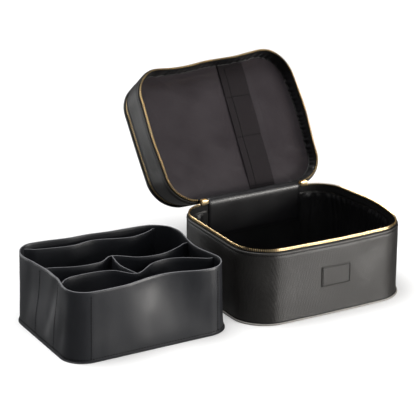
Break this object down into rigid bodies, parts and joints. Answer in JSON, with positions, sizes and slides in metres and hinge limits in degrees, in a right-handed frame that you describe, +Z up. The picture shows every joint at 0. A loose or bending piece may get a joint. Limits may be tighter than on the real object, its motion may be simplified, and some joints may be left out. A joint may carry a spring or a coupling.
{
  "type": "makeup train case",
  "caption": "Zipped vanity case with a hinged lid, a zipped top compartment with a compact mirror, a brush strap and a lift-out divider insert beside it.",
  "frame": {"origin": "centre of the case's flat underside, which stands on the surface", "axes": "+Z up, +X to the right along the hinge, +Y towards the hinge at the back; the divider insert stands beside the case at -X"},
  "size_m": [0.5269, 0.4043, 0.279],
  "materials": {
    "case_leather": "fine cross-grain coated leather, satin",
    "piping": "smooth, satin, catches the light",
    "board": "matt grey board",
    "black_satin": "satin lining, soft sheen",
    "grey_satin": "stain-proof satin, soft sheen",
    "elastic": "ribbed elastic, matt",
    "zip_tape": "woven tape, matt",
    "brass": "polished pale brass",
    "mirror": "polished",
    "insert_leather": "fine pebble grain, satin"
  },
  "bodies": {
    "case": {"case_skin": "case_leather", "case_board": "board", "base_panel": "case_leather", "base_board": "board", "base_piping": "piping", "case_lining": "black_satin", "lining_floor": "black_satin", "case_zip_tape": "zip_tape", "case_zip_row": "brass", "monogram_patch": "case_leather", "hinge_strip": "case_leather", "hinge_flap": "black_satin"},
    "lid": {"lid_skin": "case_leather", "lid_board": "board", "lid_gusset_lining": "black_satin", "lid_panel": "grey_satin", "lid_panel_piping": "black_satin", "brush_strap": "elastic", "lid_zip_tape": "zip_tape", "lid_zip_row": "brass", "top_zip_lower_tape": "zip_tape", "top_zip_lower_row": "brass", "mirror_pocket": "black_satin"},
    "cover": {"cover_hinge_strip": "case_leather", "cover_band": "case_leather", "cover_panel": "case_leather", "cover_lining": "black_satin", "top_zip_upper_tape": "zip_tape", "top_zip_upper_row": "brass", "handle_tabs": "case_leather"},
    "mirror": {"mirror_frame": "case_leather", "mirror_glass": "mirror"},
    "handle": {"handle_rings": "brass", "handle_grip": "case_leather"},
    "slider_left": {"main_slider_left": "brass"},
    "slider_right": {"main_slider_right": "brass"},
    "pull_left": {"main_pull_left": "brass"},
    "pull_right": {"main_pull_right": "brass"},
    "slider_top": {"top_slider": "brass"},
    "pull_top": {"top_pull": "brass"},
    "insert": {"insert_wall": "insert_leather", "insert_floor": "insert_leather", "insert_back_pocket": "insert_leather", "insert_middle_divider": "insert_leather", "insert_cross_divider": "insert_leather", "insert_front_divider": "insert_leather"}
  },
  "joints": [
    {"name": "lid_hinge", "type": "hinge", "parent": "case", "child": "lid", "pos_m": [0, 0.108, 0.111], "axis": [-1, 0, 0], "range_deg": [-128, 0], "deforming": ["hinge_strip", "hinge_flap"]},
    {"name": "cover_hinge", "type": "hinge", "parent": "lid", "child": "cover", "pos_m": [0, 0.16215, 0.08773], "axis": [-1, 0, 0], "range_deg": [0, 55], "deforming": ["cover_hinge_strip"]},
    {"name": "mirror_slide", "type": "slide", "parent": "lid", "child": "mirror", "axis": [0, 0.6157, 0.788], "range_m": [0, 0.055]},
    {"name": "handle_swing", "type": "hinge", "parent": "cover", "child": "handle", "pos_m": [0, 0.23044, 0.15239], "axis": [1, 0, 0], "range_deg": [-30, 100]},
    {"name": "slider_left_travel", "type": "hinge", "parent": "case", "child": "slider_left", "pos_m": [-0.084, 0.062, 0.111], "axis": [0, 0, 1], "range_deg": [0, 85]},
    {"name": "slider_right_travel", "type": "hinge", "parent": "case", "child": "slider_right", "pos_m": [0.084, 0.062, 0.111], "axis": [0, 0, -1], "range_deg": [0, 85]},
    {"name": "pull_left_swing", "type": "hinge", "parent": "slider_left", "child": "pull_left", "pos_m": [-0.084, 0.1098, 0.111], "axis": [1, 0, 0], "range_deg": [0, 28]},
    {"name": "pull_right_swing", "type": "hinge", "parent": "slider_right", "child": "pull_right", "pos_m": [0.084, 0.1098, 0.111], "axis": [1, 0, 0], "range_deg": [0, 28]},
    {"name": "slider_top_travel", "type": "hinge", "parent": "lid", "child": "slider_top", "pos_m": [0.084, 0.19047, 0.12398], "axis": [0, -0.788, 0.6157], "range_deg": [0, 85]},
    {"name": "pull_top_swing", "type": "hinge", "parent": "slider_top", "child": "pull_top", "pos_m": [0.084, 0.16104, 0.08631], "axis": [1, 0, 0], "range_deg": [-30, 52]},
    {"name": "insert_lift", "type": "slide", "parent": "case", "child": "insert", "axis": [0, 0, 1], "range_m": [0, 0.15]}
  ]
}
